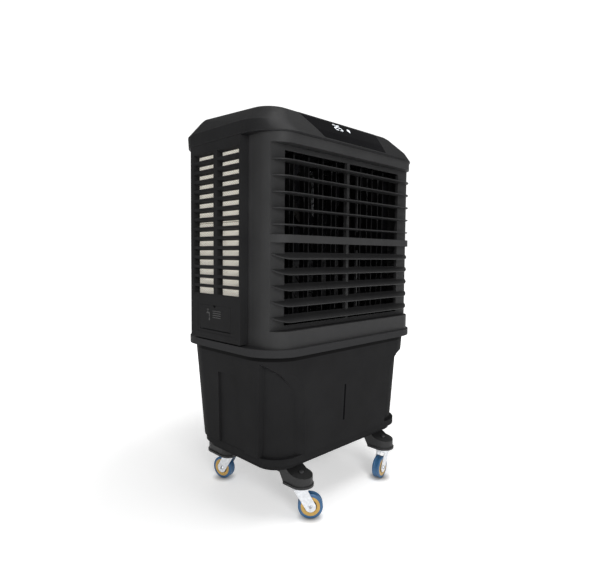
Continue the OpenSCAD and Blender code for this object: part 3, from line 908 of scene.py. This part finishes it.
@dataclass
class Studio:
    """Floor, lights and camera."""

    eye: Point = (-1.603, -1.571, 1.034)
    yaw: float = 45.07
    pitch: float = -3.36
    roll: float = 0.484
    lens: float = 29.148
    glow: float = 0.42
    ambient: float = 0.24
    lamps: tuple = (("top", (0.3, -0.9, 4.4), 2.4, 95.0), ("key", (-2.1, -3.9, 2.3), 1.6, 105.0),
                    ("side", (-3.9, -0.6, 1.6), 2.0, 16.0), ("back", (2.0, 3.6, 2.6), 2.4, 18.0))

    def build(self) -> None:
        """Sets up the floor, the world, the lights and the camera."""
        self.floor()
        self.surround()
        self.lights()
        self.camera()

    def floor(self) -> None:
        """Lays a white floor that glows a little, so it runs into the white surround, with a painted contact shadow
        under each wheel.
        """
        bpy.ops.object.select_all(action="DESELECT")
        bpy.ops.mesh.primitive_plane_add(size=60, location=(0, 0, 0))
        ground = bpy.context.object
        ground.name = "floor"
        paint = Paint("floor_pale")
        tone = paint.noise(0.8, 2.0)
        white = paint.blend(tone, (0.84, 0.84, 0.84), (0.88, 0.88, 0.88))
        apart = paint.node("ShaderNodeVectorMath", {"operation": "LENGTH"}, {0: paint.place})
        reach = Value(paint, apart.outputs["Value"]).ramp(0.9, 2.6)
        near = (self.glow, self.glow, self.glow)
        glow = paint.blend(reach, near, (1.0, 1.0, 1.0))
        # Painted shadow: around each wheel's contact point the floor's colour and glow fade to near black within 58
        # mm.
        for joint in (j for j in frame["joints"] if j["name"].endswith("_roll")):
            spot = (joint["pos_m"][0], joint["pos_m"][1], 0.0)
            gap = paint.node("ShaderNodeVectorMath", {"operation": "DISTANCE"}, {0: paint.place, 1: spot})
            shade = (1.0 - Value(paint, gap.outputs["Value"]).ramp(0.014, 0.058)) * 0.85
            white, glow = (paint.blend(shade, tone, (0.01, 0.01, 0.012)) for tone in (white, glow))
        paint.set(Base_Color=white, Emission_Color=glow, Emission_Strength=1.0,
                  Roughness=tone * 0.1 + 0.7, Specular_IOR_Level=0.1)
        ground.data.materials.append(paint.material)

    def surround(self) -> None:
        """Makes a white surround that lights the object less than it shows."""
        world = bpy.data.worlds.new("studio")
        bpy.context.scene.world = world
        world.use_nodes = True
        nodes, links = world.node_tree.nodes, world.node_tree.links
        background = nodes["Background"]
        background.inputs[0].default_value = (1.0, 1.0, 1.0, 1.0)
        seen = nodes.new("ShaderNodeLightPath")
        level = nodes.new("ShaderNodeMapRange")
        level.inputs["To Min"].default_value, level.inputs["To Max"].default_value = self.ambient, 1.1
        links.new(seen.outputs["Is Camera Ray"], level.inputs["Value"])
        links.new(level.outputs[0], background.inputs[1])
        bpy.context.scene.view_settings.view_transform = "Standard"

    def lights(self) -> None:
        """Hangs large soft area lights round the object."""
        for name, spot, size, power in self.lamps:
            data = bpy.data.lights.new(name, "AREA")
            data.size, data.energy = size, power
            lamp = bpy.data.objects.new(name, data)
            bpy.context.scene.collection.objects.link(lamp)
            lamp.location = spot
            lamp.rotation_euler = (Vector((0, 0, 0.9)) - Vector(spot)).to_track_quat("-Z", "Y").to_euler()

    def camera(self) -> None:
        """Places the camera."""
        yaw, pitch, roll = (math.radians(a) for a in (self.yaw, self.pitch, self.roll))
        ahead = Vector((math.cos(pitch) * math.cos(yaw), math.cos(pitch) * math.sin(yaw), math.sin(pitch)))
        right = ahead.cross(Vector((0, 0, 1))).normalized()
        up = right.cross(ahead)
        right, up = right * math.cos(roll) + up * math.sin(roll), up * math.cos(roll) - right * math.sin(roll)
        data = bpy.data.cameras.new("camera")
        data.lens, data.sensor_width, data.sensor_fit = self.lens, 36.0, "HORIZONTAL"
        data.clip_end = 100.0
        camera = bpy.data.objects.new("camera", data)
        bpy.context.scene.collection.objects.link(camera)
        turn = Matrix((right, up, -ahead)).transposed().to_4x4()
        camera.matrix_world = Matrix.Translation(self.eye) @ turn
        bpy.context.scene.camera = camera


def main() -> None:
    logging.basicConfig(level=logging.INFO, format="%(name)s: %(message)s")
    for part in (Shells(), AirOutlet(), IntakePanels(), *(Castor(c) for c in Corner),
                 Innards(), Markings(), Studio()):
        part.build()


if __name__ == "__main__":
    main()
